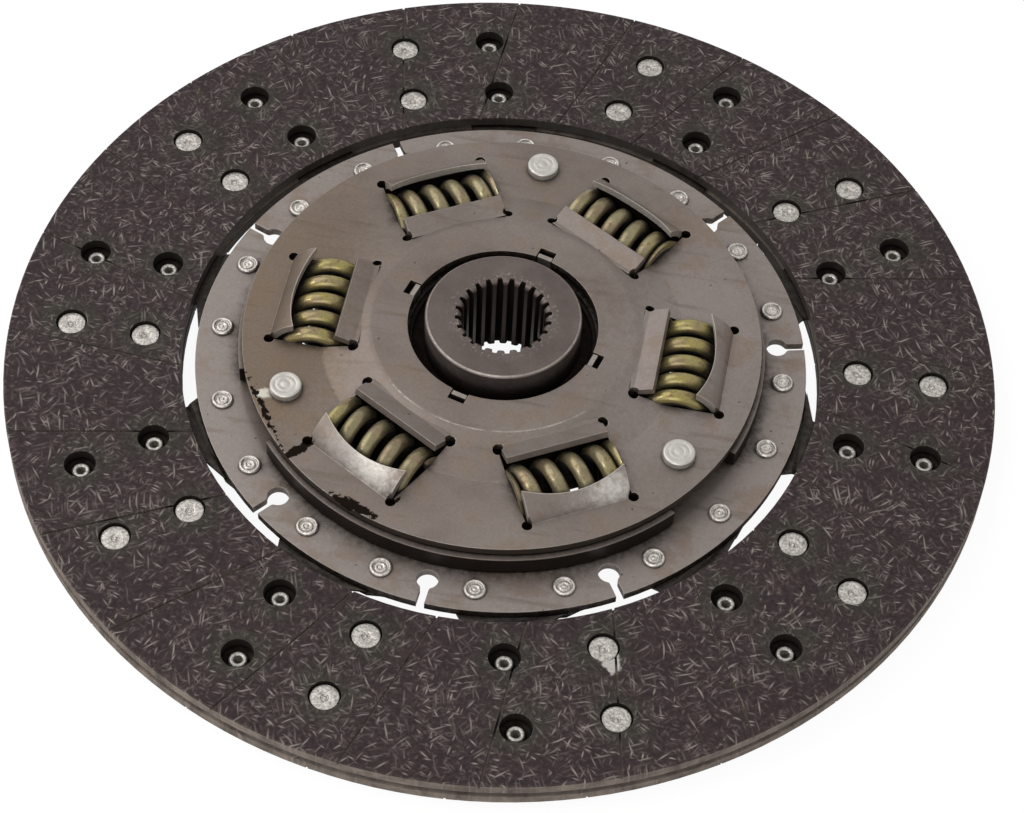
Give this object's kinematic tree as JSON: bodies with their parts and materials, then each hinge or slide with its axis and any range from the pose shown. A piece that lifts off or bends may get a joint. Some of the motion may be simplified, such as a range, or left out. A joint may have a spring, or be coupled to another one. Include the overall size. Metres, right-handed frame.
{
  "type": "clutch disc",
  "caption": "Clutch driven disc with riveted friction facings, cushion segments, a spring torsion damper and a splined hub that twists against the springs.",
  "frame": {"origin": "on the disc's axis, at the lower end of the hub, on which the disc stands", "axes": "+Z along the disc's axis towards the retaining plate's side; a damper spring window lies on +X"},
  "size_m": [0.362, 0.362, 0.037],
  "materials": {
    "friction_facing": "worn moulded friction lining with pale fibres",
    "plate_steel": "dull phosphated plate, dusty brown-grey",
    "hub_steel": "dull machined forging",
    "spring_steel": "olive-brown oiled spring wire with rust specks",
    "segment_steel": "satin spring strip",
    "rivet_steel": "pale bare rivet metal",
    "friction_ring": "moulded friction ring"
  },
  "bodies": {
    "disc": {"facing_upper": "friction_facing", "facing_lower": "friction_facing", "driven_plate": "plate_steel", "retaining_plate": "plate_steel", "hub_bush": "friction_ring", "friction_ring": "friction_ring", "support_ring": "spring_steel", "disc_spring": "spring_steel", "facing_rivets_upper": "rivet_steel", "facing_rivets_lower": "rivet_steel", "segment_rivets": "rivet_steel", "spacer_rivets": "rivet_steel", "cushion_segment_1": "segment_steel", "cushion_segment_2": "segment_steel", "cushion_segment_3": "segment_steel", "cushion_segment_4": "segment_steel", "cushion_segment_5": "segment_steel", "cushion_segment_6": "segment_steel", "cushion_segment_7": "segment_steel", "cushion_segment_8": "segment_steel", "cushion_segment_9": "segment_steel", "cushion_segment_10": "segment_steel", "torsion_spring_1": "spring_steel", "torsion_spring_2": "spring_steel", "torsion_spring_3": "spring_steel", "torsion_spring_4": "spring_steel", "torsion_spring_5": "spring_steel", "torsion_spring_6": "spring_steel"},
    "hub_body": {"hub": "hub_steel"}
  },
  "joints": [
    {"name": "hub_twist", "type": "hinge", "parent": "disc", "child": "hub_body", "pos_m": [0, 0, 0.01815], "axis": [0, 0, 1], "range_deg": [-7, 7], "stiffness_Nm_per_rad": 2000, "deforming": ["torsion_spring_1", "torsion_spring_2", "torsion_spring_3", "torsion_spring_4", "torsion_spring_5", "torsion_spring_6"]}
  ]
}
